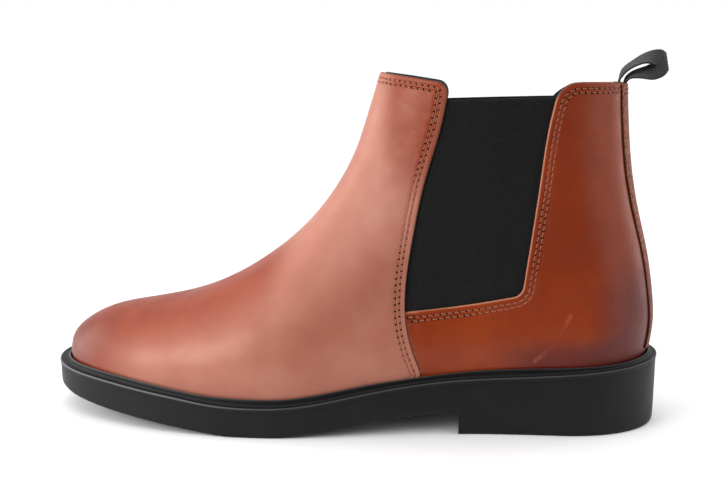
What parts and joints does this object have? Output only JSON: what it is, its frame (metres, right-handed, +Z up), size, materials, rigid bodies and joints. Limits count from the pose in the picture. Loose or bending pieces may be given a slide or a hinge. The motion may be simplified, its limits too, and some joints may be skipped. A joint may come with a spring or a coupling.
{
  "type": "chelsea boot",
  "caption": "Left ankle-high chelsea boot in smooth leather with elastic side gussets, a webbing pull loop at the heel, and a moulded rubber sole with a low block heel.",
  "frame": {"origin": "on the ground under the middle of the boot's bounding box", "axes": "+X from toe to heel, +Y to the boot's medial side (towards the other foot), +Z up"},
  "size_m": [0.3049, 0.105, 0.1807],
  "materials": {
    "upper_leather": "satin burnished",
    "back_strip_leather": "satin",
    "elastic": "matte ribbed",
    "webbing": "woven",
    "lining": "matte",
    "suede": "napped",
    "thermoplastic": "matte",
    "interlining": "non-woven",
    "sole_rubber": "matte moulded",
    "spring_steel": "rolled",
    "nail_steel": "drawn",
    "fibreboard": "pressed fibre",
    "cork": "granular",
    "core_plastic": "moulded",
    "sock": "matte",
    "foam": "open-cell foam"
  },
  "bodies": {
    "root": {"vamp": "upper_leather", "quarter_lateral": "upper_leather", "quarter_medial": "upper_leather", "back_strip": "back_strip_leather", "gusset_lateral": "elastic", "gusset_medial": "elastic", "vamp_lining": "lining", "quarter_lining_lateral": "lining", "quarter_lining_medial": "lining", "heel_grip": "suede", "toe_puff": "thermoplastic", "heel_counter": "thermoplastic", "vamp_interlining": "interlining", "pull_loop_anchor": "webbing", "welt": "sole_rubber", "outsole": "sole_rubber", "bottom_filler": "cork", "shank": "spring_steel", "shank_rivets": "nail_steel", "heel_core": "core_plastic", "heel_seat_board": "fibreboard", "heel_nails": "nail_steel", "insole_board": "fibreboard", "sock_liner": "sock", "heel_pad": "foam"},
    "loop": {"pull_loop": "webbing"}
  },
  "joints": [
    {"name": "pull_loop_hinge", "type": "hinge", "parent": "root", "child": "loop", "pos_m": [0.13015, -0.0003, 0.1685], "axis": [0, -1, 0], "range_deg": [-25, 35], "stiffness_Nm_per_rad": 0.003}
  ]
}
